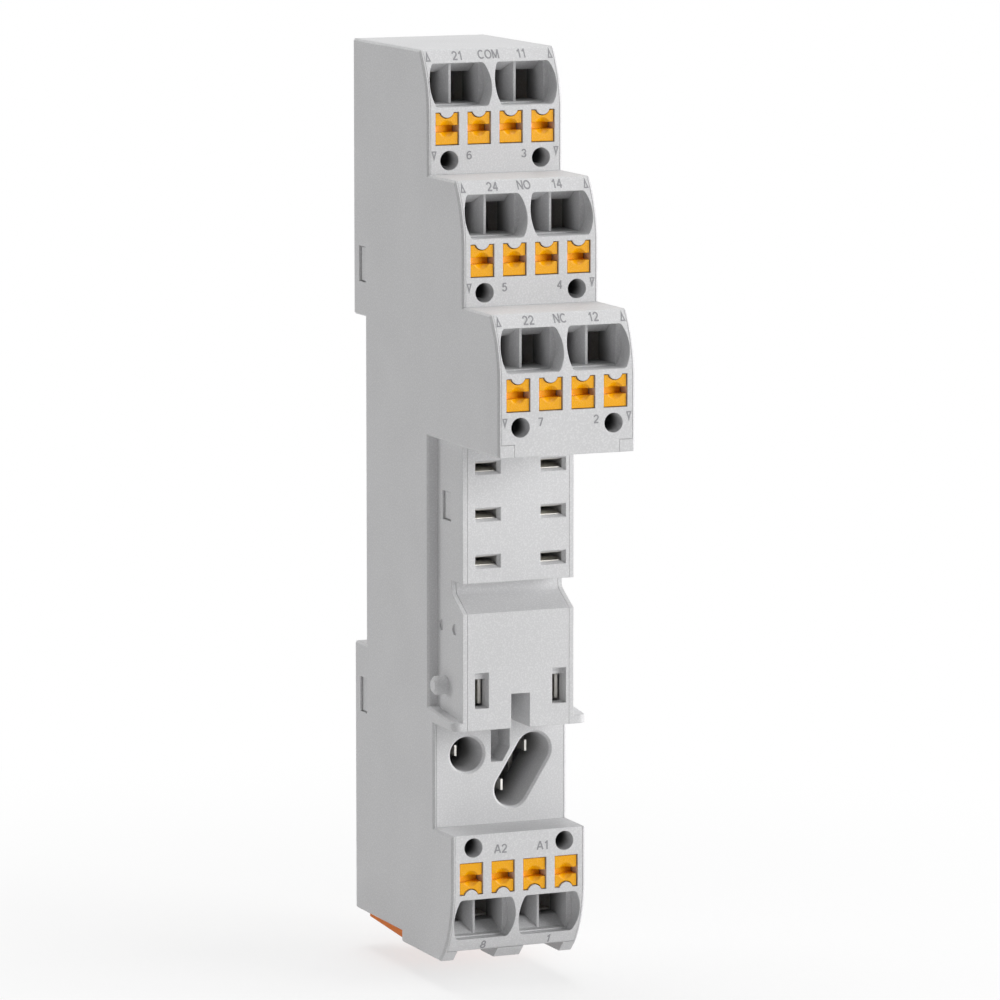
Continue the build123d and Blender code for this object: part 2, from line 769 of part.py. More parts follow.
def button(tier, x):
    # A push button: driver slot in front, collar behind the block, nose against the spring
    window_z = tier.edge + tier.way * button_inset
    tab_z = tier.edge + tier.way * (window_inset - tab_sunk)
    height = window_height - 2 * button_clearance
    face = Plane.XZ.offset(tier.front - button_recess)
    collar_front = tier.front - block_depth - collar_gap
    with BuildPart() as push:
        with BuildSketch(face) as body:
            with Locations((x, window_z)):
                Rectangle(button_width, height)
        extrude(body.sketch, amount=collar_front - tier.front + button_recess)
        with BuildSketch(Plane.XZ.offset(collar_front)) as collar:
            with Locations((x, window_z)):
                Rectangle(button_width, height + 2 * collar_rise)
        extrude(collar.sketch, amount=-collar_thickness)
        with BuildSketch(face) as notch:
            with Locations((x, tab_z)):
                Circle(tab_radius + tab_clearance)
        extrude(notch.sketch, amount=-tab_notch_depth, mode=Mode.SUBTRACT)
        with BuildSketch(face) as dish:
            with Locations((x, window_z)):
                Circle(dish_radius)
        extrude(dish.sketch, amount=-dish_depth, taper=bevel_taper, mode=Mode.SUBTRACT)
        with BuildSketch(Plane.XY.offset(window_z)) as slot:
            with BuildLine() as ramp:
                mouth = button_recess - tier.front
                Polyline(
                    (x - button_width / 2, mouth),
                    (x + button_width / 2, mouth),
                    (x + button_width / 2, mouth + slot_deep),
                    (x - button_width / 2, mouth + slot_shallow),
                    close=True,
                )
            make_face(ramp.edges())
        extrude(slot.sketch, amount=slot_height / 2, both=True, mode=Mode.SUBTRACT)
        with BuildSketch(Plane.YZ.offset(x)) as nose:
            with BuildLine() as nose_line:
                start = collar_gap + collar_thickness / 2
                Polyline(
                    clamp_point(tier, start, height / 2),
                    clamp_point(tier, nose_reach(height / 2), height / 2),
                    clamp_point(tier, start, nose_height(start)),
                    close=True,
                )
            make_face(nose_line.edges())
        extrude(nose.sketch, amount=button_width / 2 - nose_inset, both=True)
    return push


def clamp_spring(tier, x):
    # A bent strip: clamping leg up to the cage's roof, loop, and foot back to the cage's leg
    back = cage_length - sheet / 2 - seam
    with BuildPart() as spring:
        with BuildSketch(Plane.YZ.offset(x)) as strip:
            with BuildLine() as path:
                FilletPolyline(
                    clamp_point(tier, spring_tip_back, spring_tip_rise),
                    clamp_point(tier, spring_knee_back, -spring_foot_drop),
                    clamp_point(tier, back, -spring_foot_drop),
                    radius=spring_loop_radius,
                )
            trace(path.edges(), spring_thickness)
        extrude(strip.sketch, amount=button_width / 2 - spring_inset, both=True)
    return spring


def strip_route(tier, leg_y):
    # The middle line of a contact's punched strip, from the cage's tail to its relay pin
    end_y = block_depth - fork_root - relay_front + strip_width / 2
    start = clamp_point(tier, cage_length, -strip_start_drop - strip_width / 2)
    if tier is coil:
        return [start, (leg_y, coil_slot_z), (end_y, coil_slot_z)]
    row_z = relay_rows[tier.name]
    if tier is nc:
        turn_z = nc_bottom + wall + strip_width / 2 + 2 * seam
        return [start, (leg_y, turn_z), (-nc_strip_front, turn_z), (-nc_strip_front, row_z), (end_y, row_z)]
    return [start, (leg_y, row_z), (end_y, row_z)]


def strip_legs(route):
    # Straight legs of the strip that overlap at its square corners
    for (y, z), (next_y, next_z) in zip(route, route[1:]):
        with Locations(((y + next_y) / 2, (z + next_z) / 2)):
            Rectangle(abs(next_y - y) + strip_width, abs(next_z - z) + strip_width)


def fork_outline(mouth, spread, pinch):
    # Outline of a two-leaved fork: its depth before the seat and its distance from the blade
    half = fork_sheet / 2
    front = mouth - relay_front
    throat = front + fork_throat
    root = block_depth - fork_root - relay_front
    upper = [(front, spread + half), (throat, pinch + half), (root + half, spread + half)]
    inner = [(root - half, spread - half), (throat, pinch - half), (front, spread - half)]
    lower = [(y, -away) for y, away in reversed(upper)]
    lower_inner = [(y, -away) for y, away in reversed(inner)]
    return upper + lower + lower_inner + inner


def relay_fork(x, row_z):
    # A fork whose two leaves grip a relay blade from above and below
    corners = fork_outline(fork_mouth, fork_spread, fork_pinch)
    with BuildSketch(Plane.YZ.offset(x)) as leaves:
        with BuildLine() as outline:
            Polyline(*[(y, row_z + away) for y, away in corners], close=True)
        make_face(outline.edges())
    extrude(leaves.sketch, amount=fork_width / 2, both=True)


def coil_fork(x):
    # A fork whose two leaves grip a coil blade from both sides
    corners = fork_outline(coil_fork_mouth, coil_fork_spread, coil_fork_pinch)
    with BuildSketch(Plane.XY.offset(coil_slot_z)) as leaves:
        with BuildLine() as outline:
            Polyline(*[(x + away, y) for y, away in corners], close=True)
        make_face(outline.edges())
    extrude(leaves.sketch, amount=coil_fork_height / 2, both=True)


def contact(tier, side):
    # One contact: cage round the clamps, strip down to the relay pin, and fork
    leg_y = clamp_point(tier, cage_length, 0)[0]
    with BuildPart() as bar:
        with BuildSketch(Plane.YZ.offset(side * cage_middle)) as cage:
            with BuildLine() as path:
                FilletPolyline(
                    clamp_point(tier, cage_start, cage_rise),
                    clamp_point(tier, cage_length, cage_rise),
                    clamp_point(tier, cage_length, -cage_tail),
                    radius=cage_bend_radius,
                )
            trace(path.edges(), sheet)
        extrude(cage.sketch, amount=(cage_outer - cage_inner) / 2, both=True)
        with BuildSketch(Plane.YZ.offset(side * strip_lanes[tier.name])) as strip:
            strip_legs(strip_route(tier, leg_y))
        extrude(strip.sketch, amount=sheet / 2, both=True)
        if tier is coil:
            coil_fork(side * coil_column)
        else:
            relay_fork(side * relay_column, relay_rows[tier.name])
    return bar


for tier in tiers:
    for number, x in enumerate(pole_columns, 1):
        save(button(tier, x), f"button_{tier.name}_{number}")
        save(clamp_spring(tier, x), f"clamp_spring_{tier.name}_{number}")
    save(contact(tier, -1), f"contact_{tier.name}_left")
    save(contact(tier, 1), f"contact_{tier.name}_right")

# Function module contacts: blades behind the round and the long opening
blade_front = lower_front - blade_depth
blade_x = coil_column - sheet / 2
blade_low = module_top_z - blade_height / 2
for name, start_x, thickness in (("left", -blade_x, blade_sheet), ("upper", blade_x, -blade_sheet)):
    with BuildPart() as blade:
        with BuildSketch(Plane.YZ.offset(start_x)):
            band(blade_front - blade_length, blade_front, blade_low, blade_low + blade_height)
        extrude(amount=thickness)
    save(blade, f"module_contact_{name}")

with BuildPart() as module_contact_lower:
    with BuildSketch(Plane.XY.offset(module_low_z)):
        stem_x = web_wall / 2 + seam + blade_sheet / 2
        with BuildLine() as path:
            FilletPolyline(
                (stem_x, blade_length - blade_front),
                (stem_x, blade_stem - blade_front),
                (module_low_x, blade_stem - module_low_x + stem_x - blade_front),
                (module_low_x, -blade_front),
                radius=blade_bend_radius,
            )
        trace(path.edges(), blade_sheet)
    extrude(amount=blade_height / 2, both=True)
save(module_contact_lower, "module_contact_lower")

# Rail latch: hook behind the flange, bar with a spring window, foot for a screwdriver
foot_top = coil_bottom - latch_clearance
foot_low = foot_top - latch_foot_thickness
with BuildPart() as rail_latch:
    with BuildSketch(Plane.YZ):
        with BuildLine():
            Polyline(
                (latch_face, latch_shelf_z),
                (hook_face, latch_shelf_z),
                (hook_face, -hook_tip),
                (hook_face + hook_thickness / 2, -hook_tip),
                (hook_face + hook_thickness, -hook_tip - hook_thickness / 2),
                (hook_face + hook_thickness, latch_head_bottom + hook_thickness),
                (flange_thickness, latch_head_bottom),
                (flange_thickness, foot_top - latch_foot_root),
                (latch_face, foot_top - latch_foot_root),
                close=True,
            )
        make_face()
    extrude(amount=latch_width / 2, both=True)
    with BuildSketch(Plane.YZ):
        with BuildLine():
            Polyline(
                (flange_thickness, foot_top),
                (flange_thickness, foot_top - latch_foot_root),
                (-latch_foot_reach, foot_low),
                (-latch_foot_reach, foot_top),
                close=True,
            )
        make_face()
    extrude(amount=latch_foot_width / 2, both=True)
    with BuildSketch(Plane.XZ):
        with Locations((0, latch_window_top - latch_window_height / 2)):
            Rectangle(latch_window_width, latch_window_height)
    extrude(amount=recess_depth, both=True, mode=Mode.SUBTRACT)
    with BuildSketch(Plane.XY.offset(foot_top)):
        with Locations((0, latch_foot_slot_inset - latch_foot_reach)):
            Rectangle(*latch_foot_slot)
    extrude(amount=-latch_foot_thickness, mode=Mode.SUBTRACT)
save(rail_latch, "rail_latch")

# Latch spring: a zigzag of flat wire between the window's top and the frame's peg
swing = (latch_window_width - latch_spring_wire) / 2 - latch_clearance
spring_top = latch_window_top - latch_spring_wire / 2 - seam
row_pitch = (latch_spring_length - latch_spring_wire - 2 * seam) / (latch_spring_rows - 2)
with BuildPart() as latch_spring:
    with BuildSketch(Plane.XZ.offset(-(latch_face + flange_thickness) / 2)):
        with BuildLine() as path:
            turns = []
            for row in range(latch_spring_rows + 1):
                row_drop = min(max(row - 1, 0), latch_spring_rows - 2) * row_pitch
                turns.append((swing if row % 2 else -swing, spring_top - row_drop))
            FilletPolyline(*turns, radius=latch_spring_radius)
        trace(path.edges(), latch_spring_wire)
    extrude(amount=latch_spring_depth / 2, both=True)
save(latch_spring, "latch_spring")
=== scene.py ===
"""Looks of the relay socket: studio, finishes, smooth mouldings, bending springs and printing."""

from __future__ import annotations

import logging
import math
from collections.abc import Iterable, Mapping, Sequence
from dataclasses import dataclass, field
from enum import Enum

import bmesh
import bpy
import numpy as np
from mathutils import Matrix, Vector

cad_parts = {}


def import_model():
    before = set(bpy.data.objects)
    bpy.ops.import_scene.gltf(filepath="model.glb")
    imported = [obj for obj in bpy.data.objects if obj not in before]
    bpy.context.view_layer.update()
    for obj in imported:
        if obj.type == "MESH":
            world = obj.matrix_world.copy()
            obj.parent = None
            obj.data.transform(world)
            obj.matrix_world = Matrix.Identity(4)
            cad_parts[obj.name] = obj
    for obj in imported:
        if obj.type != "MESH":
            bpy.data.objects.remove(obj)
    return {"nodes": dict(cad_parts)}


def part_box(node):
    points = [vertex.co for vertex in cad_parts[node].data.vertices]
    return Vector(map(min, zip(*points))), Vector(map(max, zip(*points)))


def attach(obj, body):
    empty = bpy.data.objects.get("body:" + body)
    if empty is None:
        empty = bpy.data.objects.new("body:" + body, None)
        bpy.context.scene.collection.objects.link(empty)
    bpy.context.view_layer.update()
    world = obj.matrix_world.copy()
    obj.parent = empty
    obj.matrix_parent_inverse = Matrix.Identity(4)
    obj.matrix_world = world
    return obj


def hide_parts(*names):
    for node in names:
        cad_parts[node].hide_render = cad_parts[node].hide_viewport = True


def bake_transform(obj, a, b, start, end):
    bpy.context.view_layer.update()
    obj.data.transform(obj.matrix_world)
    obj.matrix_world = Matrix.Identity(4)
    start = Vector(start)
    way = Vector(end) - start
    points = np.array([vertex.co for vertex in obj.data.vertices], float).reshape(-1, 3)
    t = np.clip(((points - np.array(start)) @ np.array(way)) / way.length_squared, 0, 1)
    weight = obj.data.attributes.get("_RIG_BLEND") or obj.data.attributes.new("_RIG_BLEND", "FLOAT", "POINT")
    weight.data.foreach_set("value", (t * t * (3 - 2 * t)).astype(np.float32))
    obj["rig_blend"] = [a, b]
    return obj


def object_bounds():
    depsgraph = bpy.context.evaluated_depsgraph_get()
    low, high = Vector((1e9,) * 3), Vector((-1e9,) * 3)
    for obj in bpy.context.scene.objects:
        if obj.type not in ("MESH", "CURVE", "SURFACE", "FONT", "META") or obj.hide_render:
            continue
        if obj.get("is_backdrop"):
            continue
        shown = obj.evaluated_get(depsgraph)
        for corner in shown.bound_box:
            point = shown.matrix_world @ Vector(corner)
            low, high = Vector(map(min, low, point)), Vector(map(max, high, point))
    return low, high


log = logging.getLogger("relay_socket")

MM = 0.001
# The point attribute that sets how much painted shade a point gets.
SHADE_DEPTH = "shade_depth"
MERGE_DISTANCE = 0.001 * MM


class Slot(Enum):
    """The record's material slots."""

    HOUSING = "housing"
    BUTTONS = "buttons"
    CONTACTS = "contacts"
    SPRINGS = "springs"
    LATCH = "latch"


class Tier(Enum):
    """The four steps with terminals, from the top of the socket down."""

    COM = "com"
    NO = "no"
    NC = "nc"
    COIL = "coil"


class Signal:
    """One shader value. Its operators add Math nodes to the same bench."""

    def __init__(self, bench: Bench, socket: bpy.types.NodeSocket) -> None:
        """Wraps a socket.

        Args:
            bench: the finish that the socket belongs to.
            socket: an output of one of its nodes.
        """
        self.bench = bench
        self.socket = socket

    def __add__(self, other: Signal | float) -> Signal:
        """The sum of two values."""
        return self.bench.maths("ADD", self, other)

    def __radd__(self, other: float) -> Signal:
        """The sum with a plain number first."""
        return self.bench.maths("ADD", other, self)

    def __sub__(self, other: Signal | float) -> Signal:
        """The difference of two values."""
        return self.bench.maths("SUBTRACT", self, other)

    def __rsub__(self, other: float) -> Signal:
        """The difference with a plain number first."""
        return self.bench.maths("SUBTRACT", other, self)

    def __mul__(self, other: Signal | float) -> Signal:
        """The product of two values."""
        return self.bench.maths("MULTIPLY", self, other)

    def __rmul__(self, other: float) -> Signal:
        """The product with a plain number first."""
        return self.bench.maths("MULTIPLY", other, self)

    def __truediv__(self, other: Signal | float) -> Signal:
        """The quotient of two values."""
        return self.bench.maths("DIVIDE", self, other)

    def larger(self, other: Signal | float) -> Signal:
        """The larger of two values."""
        return self.bench.maths("MAXIMUM", self, other)


class Bench:
    """The node tree of one finish, or of the world, while it is being made."""

    def __init__(self, owner: bpy.types.Material | bpy.types.World) -> None:
        """Starts with an empty tree.

        Args:
            owner: the new material or world.
        """
        self.owner = owner
        owner.use_nodes = True
        self.tree = owner.node_tree
        self.tree.nodes.clear()

    @classmethod
    def of_material(cls, name: str) -> Bench:
        """A bench for a new material."""
        return cls(bpy.data.materials.new(name))

    def node(
        self,
        kind: str,
        settings: Mapping[str, object] | None = None,
        inputs: Mapping[str | int, object] | None = None,
    ) -> bpy.types.Node:
        """Makes any node: its settings first, then the values and links of its sockets.

        Args:
            kind: the node's type.
            settings: attributes such as a Math node's operation.
            inputs: a value, a signal or a node's first output for each socket.

        Returns:
            The new node.
        """
        made = self.tree.nodes.new(kind)
        for key, value in (settings or {}).items():
            setattr(made, key, value)
        for key, value in (inputs or {}).items():
            if isinstance(value, Signal):
                self.tree.links.new(value.socket, made.inputs[key])
            elif isinstance(value, bpy.types.Node):
                self.tree.links.new(value.outputs[0], made.inputs[key])
            else:
                made.inputs[key].default_value = value
        return made

    def signal(self, made: bpy.types.Node, output: str | int = 0) -> Signal:
        """One output of a node as a signal."""
        return Signal(self, made.outputs[output])

    def maths(self, operation: str, *values: Signal | float) -> Signal:
        """A Math node's result.

        Args:
            operation: the Math node's operation.
            values: its values in order.

        Returns:
            The result as a signal.
        """
        return self.signal(self.node("ShaderNodeMath", {"operation": operation}, dict(enumerate(values))))

    def ramp(self, value: Signal, low: float, high: float) -> Signal:
        """A smooth step from 0 at low to 1 at high."""
        inputs = {"Value": value, "From Min": low, "From Max": high}
        return self.signal(self.node("ShaderNodeMapRange", {"interpolation_type": "SMOOTHSTEP"}, inputs))

    def blend(self, factor: Signal, first: object, second: object) -> Signal:
        """A colour between two colours.

        Args:
            factor: 0 gives the first colour and 1 the second.
            first: a colour or a signal.
            second: a colour or a signal.

        Returns:
            The mixed colour.
        """
        mix = self.node("ShaderNodeMix", {"data_type": "RGBA"}, {0: factor, 6: first, 7: second})
        return self.signal(mix, 2)

    def place(self, stretch: Sequence[float] = (1.0, 1.0, 1.0)) -> Signal:
        """The point on the piece, in its own coordinates, stretched along each axis."""
        coordinates = self.signal(self.node("ShaderNodeTexCoord"), "Object")
        if tuple(stretch) == (1.0, 1.0, 1.0):
            return coordinates
        return self.signal(self.node("ShaderNodeMapping", None, {"Vector": coordinates, "Scale": stretch}))

    def noise(self, place: Signal, grain: float, detail: float = 2.0) -> Signal:
        """Soft noise between 0 and 1.

        Args:
            place: where the surface is.
            grain: the width of one grain, in metres.
            detail: how many finer layers it has.

        Returns:
            The noise's value.
        """
        inputs = {"Vector": place, "Scale": 1 / grain, "Detail": detail}
        return self.signal(self.node("ShaderNodeTexNoise", None, inputs))

    def rounded_normal(self, radius: float) -> Signal:
        """The surface's normal with every sharp edge rounded by a small radius, in metres."""
        return self.signal(self.node("ShaderNodeBevel", {"samples": 6}, {"Radius": radius}))

    def bumped(self, height: Signal, distance: float, strength: float, radius: float) -> bpy.types.Node:
        """A fine relief over rounded edges.

        Args:
            height: the relief, between 0 and 1.
            distance: how high the relief is, in metres.
            strength: how much of it shows.
            radius: the radius of the edges, in metres.

        Returns:
            The node that gives the normal.
        """
        inputs = {
            "Strength": strength,
            "Distance": distance,
            "Height": height,
            "Normal": self.rounded_normal(radius),
        }
        return self.node("ShaderNodeBump", None, inputs)

    def principled(self, inputs: Mapping[str, object]) -> bpy.types.Material:
        """Ends the tree at a Principled shader with these inputs and gives the material."""
        return self.finish(self.node("ShaderNodeBsdfPrincipled", None, inputs))

    def finish(self, shader: bpy.types.Node) -> bpy.types.Material:
        """Ends the tree at this shader and gives the material."""
        self.node("ShaderNodeOutputMaterial", None, {"Surface": shader})
        return self.owner


def linear(red: int, green: int, blue: int) -> tuple[float, float, float, float]:
    """A screen colour from 0 to 255 as the linear colour that a shader takes.

    Returns:
        Red, green, blue and an alpha of 1.
    """
    shares = np.array([red, green, blue]) / 255
    values = np.where(shares <= 0.04045, shares / 12.92, ((shares + 0.055) / 1.055) ** 2.4)
    return (*values.tolist(), 1.0)


@dataclass(frozen=True)
class MouldedPlastic:
    """A fine matt moulded plastic with softly rounded edges and painted shade deep in its openings."""

    name: str
    colour: tuple[float, float, float, float]
    worn_colour: tuple[float, float, float, float]
    painted_shade_colour: tuple[float, float, float, float]
    roughness: float = 0.56
    grain: float = 0.13 * MM
    grain_depth: float = 0.012 * MM
    speck_size: float = 1.3
    speck_range: tuple[float, float] = (0.45, 0.7)
    speck_share: float = 0.5
    cloud: float = 9 * MM
    uneven_grain: float = 0.12
    uneven_cloud: float = 0.08
    bump_strength: float = 0.5
    edge_radius: float = 0.09 * MM
    gloss: float = 0.32
    # Depths behind the face over which painted shade darkens the colour.
    shade_from: float = 1.8 * MM
    shade_to: float = 8.5 * MM

    def material(self) -> bpy.types.Material:
        """Colour clouds and specks, eroded grain as a bump, rounded edges, and painted shade that darkens
        the colour with depth in openings.
        """
        bench = Bench.of_material(self.name)
        place = bench.place()
        clouds = bench.noise(place, self.cloud, 3)
        grains = bench.noise(place, self.grain, 2)
        specks = bench.ramp(bench.noise(place, self.grain * self.speck_size, 1), *self.speck_range)
        tone = clouds * (1 - self.speck_share) + (1 - specks) * self.speck_share
        surface = bench.blend(tone, self.colour, self.worn_colour)
        # Painted shade: the colour goes over to the painted shade colour with depth in openings, where real
        # shade falls.
        depth = bench.signal(bench.node("ShaderNodeAttribute", {"attribute_name": SHADE_DEPTH}), "Fac")
        dark = bench.ramp(depth, self.shade_from, self.shade_to)
        colour = bench.blend(dark, surface, self.painted_shade_colour)
        rough = (grains - 0.5) * self.uneven_grain + (clouds - 0.5) * self.uneven_cloud
        return bench.principled({
            "Base Color": colour,
            "Roughness": rough + self.roughness,
            "Specular IOR Level": self.gloss,
            "Normal": bench.bumped(grains, self.grain_depth, self.bump_strength, self.edge_radius),
        })


@dataclass(frozen=True)
class RolledMetal:
    """A thin metal sheet or wire with fine rolling lines and dull patches."""

    name: str
    colour: tuple[float, float, float, float]
    dull_colour: tuple[float, float, float, float]
    roughness: float = 0.26
    line_width: float = 0.03 * MM
    line_stretch: tuple[float, float, float] = (1.0, 0.06, 0.06)
    line_depth: float = 0.004 * MM
    patch: float = 1.4 * MM
    patch_range: tuple[float, float] = (0.4, 0.75)
    uneven_patch: float = 0.14
    uneven_line: float = 0.1
    bump_strength: float = 0.5
    edge_radius: float = 0.06 * MM

    def material(self) -> bpy.types.Material:
        """Metal with lines along the sheet, and patches where the plating is duller."""
        bench = Bench.of_material(self.name)
        lines = bench.noise(bench.place(self.line_stretch), self.line_width, 2)
        patches = bench.ramp(bench.noise(bench.place(), self.patch, 3), *self.patch_range)
        colour = bench.blend(patches, self.colour, self.dull_colour)
        rough = patches * self.uneven_patch + (lines - 0.5) * self.uneven_line + self.roughness
        return bench.principled({
            "Base Color": colour,
            "Roughness": rough,
            "Metallic": 1.0,
            "Normal": bench.bumped(lines, self.line_depth, self.bump_strength, self.edge_radius),
        })


@dataclass(frozen=True)
class PrintedInk:
    """Matt grey printing, a little uneven in tone."""

    name: str
    colour: tuple[float, float, float, float]
    thin_colour: tuple[float, float, float, float]
    grain: float = 0.11 * MM
    thin_range: tuple[float, float] = (0.35, 0.8)
    roughness: float = 0.7
    uneven: float = 0.2
    gloss: float = 0.3

    def material(self) -> bpy.types.Material:
        """Ink that is thinner over the plastic's grains."""
        bench = Bench.of_material(self.name)
        grains = bench.noise(bench.place(), self.grain, 2)
        return bench.principled({
            "Base Color": bench.blend(bench.ramp(grains, *self.thin_range), self.colour, self.thin_colour),
            "Roughness": (grains - 0.5) * self.uneven + self.roughness,
            "Specular IOR Level": self.gloss,
        })


@dataclass(frozen=True)
class StudioFloor:
    """A pale floor that keeps the shadow and runs out to plain white for the viewer."""

    name: str
    colour: tuple[float, float, float, float] = (0.98, 0.98, 0.98, 1.0)
    dusty_colour: tuple[float, float, float, float] = (0.95, 0.95, 0.95, 1.0)
    unseen_colour: tuple[float, float, float, float] = (0.80, 0.80, 0.80, 1.0)
    near: float = 0.02
    far: float = 0.13
    glow: float = 0.60
    dust: float = 0.05

    def material(self) -> bpy.types.Material:
        """A matt floor that is lifted to white, wholly so further off where the viewer sees it."""
        bench = Bench.of_material(self.name)
        distance = bench.node("ShaderNodeVectorMath", {"operation": "LENGTH"}, {0: bench.place()})
        outside = bench.ramp(bench.signal(distance, "Value"), self.near, self.far)
        seen = seen_rays(bench)
        tone = bench.noise(bench.place(), self.dust, 2)
        colour = bench.blend(tone, self.colour, self.dusty_colour)
        shown = bench.blend(seen, self.unseen_colour, colour)
        matt = bench.node("ShaderNodeBsdfDiffuse", None, {"Color": shown})
        white = bench.node("ShaderNodeEmission", None, {"Color": (1, 1, 1, 1), "Strength": 1.0})
        lifted = (outside * (1 - self.glow) + self.glow) * seen
        mixed = bench.node("ShaderNodeMixShader", None, {0: lifted, 1: matt, 2: white})
        return bench.finish(mixed)


def seen_rays(bench: Bench) -> Signal:
    """1 for rays that the viewer sees straight, mirrored or through glass, else 0."""
    path = bench.node("ShaderNodeLightPath")
    mirrored = bench.signal(path, "Is Glossy Ray").larger(bench.signal(path, "Is Transmission Ray"))
    return bench.signal(path, "Is Camera Ray").larger(mirrored)


@dataclass
class Palette:
    """Every finish of the socket, made once."""

    housing: bpy.types.Material = field(init=False)
    buttons: bpy.types.Material = field(init=False)
    contacts: bpy.types.Material = field(init=False)
    springs: bpy.types.Material = field(init=False)
    latch: bpy.types.Material = field(init=False)
    ink: bpy.types.Material = field(init=False)

    def __post_init__(self) -> None:
        """Makes the finishes."""
        # The third colour of each plastic is the painted shade colour of its deep openings.
        grey = MouldedPlastic(
            "light_grey_plastic", linear(231, 231, 232), linear(209, 209, 210), linear(84, 84, 85)
        )
        orange = MouldedPlastic(
            "orange_plastic",
            linear(255, 184, 0),
            linear(253, 176, 0),
            linear(120, 66, 10),
            roughness=0.27,
            grain_depth=0.003 * MM,
            cloud=2.5 * MM,
            edge_radius=0.14 * MM,
            gloss=0.4,
        )
        dark_orange = MouldedPlastic(
            "dark_orange_plastic",
            linear(238, 128, 10),
            linear(230, 116, 4),
            linear(120, 50, 10),
            roughness=0.5,
            grain_depth=0.006 * MM,
            gloss=0.2,
        )
        self.housing = grey.material()
        self.buttons = orange.material()
        self.latch = dark_orange.material()
        self.contacts = RolledMetal(
            "tin_plate", linear(244, 242, 236), linear(214, 211, 204), roughness=0.38
        ).material()
        self.springs = RolledMetal(
            "spring_steel", linear(205, 206, 208), linear(176, 176, 178), roughness=0.22
        ).material()
        self.ink = PrintedInk("grey_ink", linear(152, 152, 155), linear(170, 170, 173)).material()

    def of_slot(self, slot: Slot) -> bpy.types.Material:
        """The finish that belongs to one of the record's slots."""
        return getattr(self, slot.value)


def dress(piece: bpy.types.Object, material: bpy.types.Material) -> None:
    """Gives a piece one finish in each of its material slots."""
    if not piece.data.materials:
        piece.data.materials.append(material)
    for held in piece.material_slots:
        held.material = material


def smooth_copy(cad: bpy.types.Object, sharp_angle: float = 24.0) -> bpy.types.Mesh:
    """A copy of a CAD mesh with joined triangles that shades smoothly between sharp edges.

    Args:
        cad: the CAD node's object.
        sharp_angle: edges that turn more than this many degrees stay sharp.

    Returns:
        The copy's mesh.
    """
    mesh = cad.data.copy()
    mesh.name = f"{cad.name}_smooth"
    for stale in [layer for layer in mesh.attributes if layer.name == "custom_normal"]:
        mesh.attributes.remove(stale)
    loose = bmesh.new()
    loose.from_mesh(mesh)
    bmesh.ops.remove_doubles(loose, verts=loose.verts, dist=MERGE_DISTANCE)
    loose.to_mesh(mesh)
    loose.free()
    mesh.shade_smooth()
    mesh.set_sharp_from_angle(angle=math.radians(sharp_angle))
    return mesh


def new_piece(name: str, mesh: bpy.types.Mesh, body: str | None) -> bpy.types.Object:
    """Puts a finished mesh into the scene as a piece of the object.

    Args:
        name: the piece's name.
        mesh: its mesh, already in place.
        body: the CAD body that it rides on, or None if it bends between two.

    Returns:
        The new object.
    """
    piece = bpy.data.objects.new(name, mesh)
    bpy.context.scene.collection.objects.link(piece)
    if body is not None:
        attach(piece, body)
    log.info("piece %s: %d faces", name, len(mesh.polygons))
    return piece


@dataclass
class TerminalFace:
    """The front of one tier, which is an arc at its raked edge and flat below it."""

    tier: Tier
    rake: float = 2.3
    bend: float = 7.0
    probe_inset: float = 10.25
    # How much deeper the probe holes count, so that their painted shade is darker.
    probe_shade_gain: float = 2.6
    front: float = field(init=False)
    edge: float = field(init=False)
    way: int = field(init=False)

    def __post_init__(self) -> None:
        """Reads the face's place from the CAD nodes, in millimetres."""
        low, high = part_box(f"terminal_front_{self.tier.value}")
        upright = self.tier is Tier.COIL
        self.front = -low.y / MM
        self.way = 1 if upright else -1
        self.edge = (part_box("centre_frame")[0].z if upright else high.z) / MM

    @property
    def radius(self) -> float:
        """The arc's radius.

        The arc is tangent to the flat part at the bend and set back by the rake at the
        edge, so its radius is (bend squared + rake squared) / (2 rake).
        """
        return (self.bend**2 + self.rake**2) / (2 * self.rake)

    def point(self, across: np.ndarray, inset: np.ndarray, lift: np.ndarray) -> np.ndarray:
        """Points on the face.

        A point at height h above the bend lies at the angle arcsin(h / radius), and is
        lifted along the arc's own radius.

        Args:
            across: places along X, in millimetres.
            inset: distances from the raked edge, in millimetres.
            lift: distances in front of the face, in millimetres.

        Returns:
            One row of X, Y and Z in metres for each point.
        """
        height = np.clip(self.bend - inset, 0, None)
        angle = np.arcsin(height / self.radius)
        back = self.radius - (self.radius + lift) * np.cos(angle) - self.front
        up = self.edge + self.way * (inset - lift * np.sin(angle))
        return np.stack([across, back, up], axis=1) * MM

    def depth(self, points: np.ndarray) -> np.ndarray:
        """How far behind the face points lie, in metres.

        At height h above the bend the face is set back by radius - sqrt(radius squared
        - h squared). The probe holes count as deeper than they are, so that their painted shade is darker.

        Args:
            points: one row of X, Y and Z in metres for each point.

        Returns:
            Their depths.
        """
        inset = (points[:, 2] / MM - self.edge) * self.way
        height = np.clip(self.bend - inset, 0, self.bend)
        set_back = self.radius - np.sqrt(self.radius**2 - height**2)
        gloom = np.where(inset > self.probe_inset, self.probe_shade_gain, 1.0)
        return (points[:, 1] + (self.front - set_back) * MM) * gloom


@dataclass(frozen=True)
class PortFace:
    """The flat face with the function module's openings, below the relay."""

    front: float = 19.25 * MM
    top: float = -22.5 * MM

    def depth(self, points: np.ndarray) -> np.ndarray:
        """How far behind the face points lie, in metres, and 0 above the face's top.

        Args:
            points: one row of X, Y and Z in metres for each point.

        Returns:
            Their depths.
        """
        # This depth sets the painted shade in the module's openings.
        return (points[:, 1] + self.front) * (points[:, 2] < self.top)


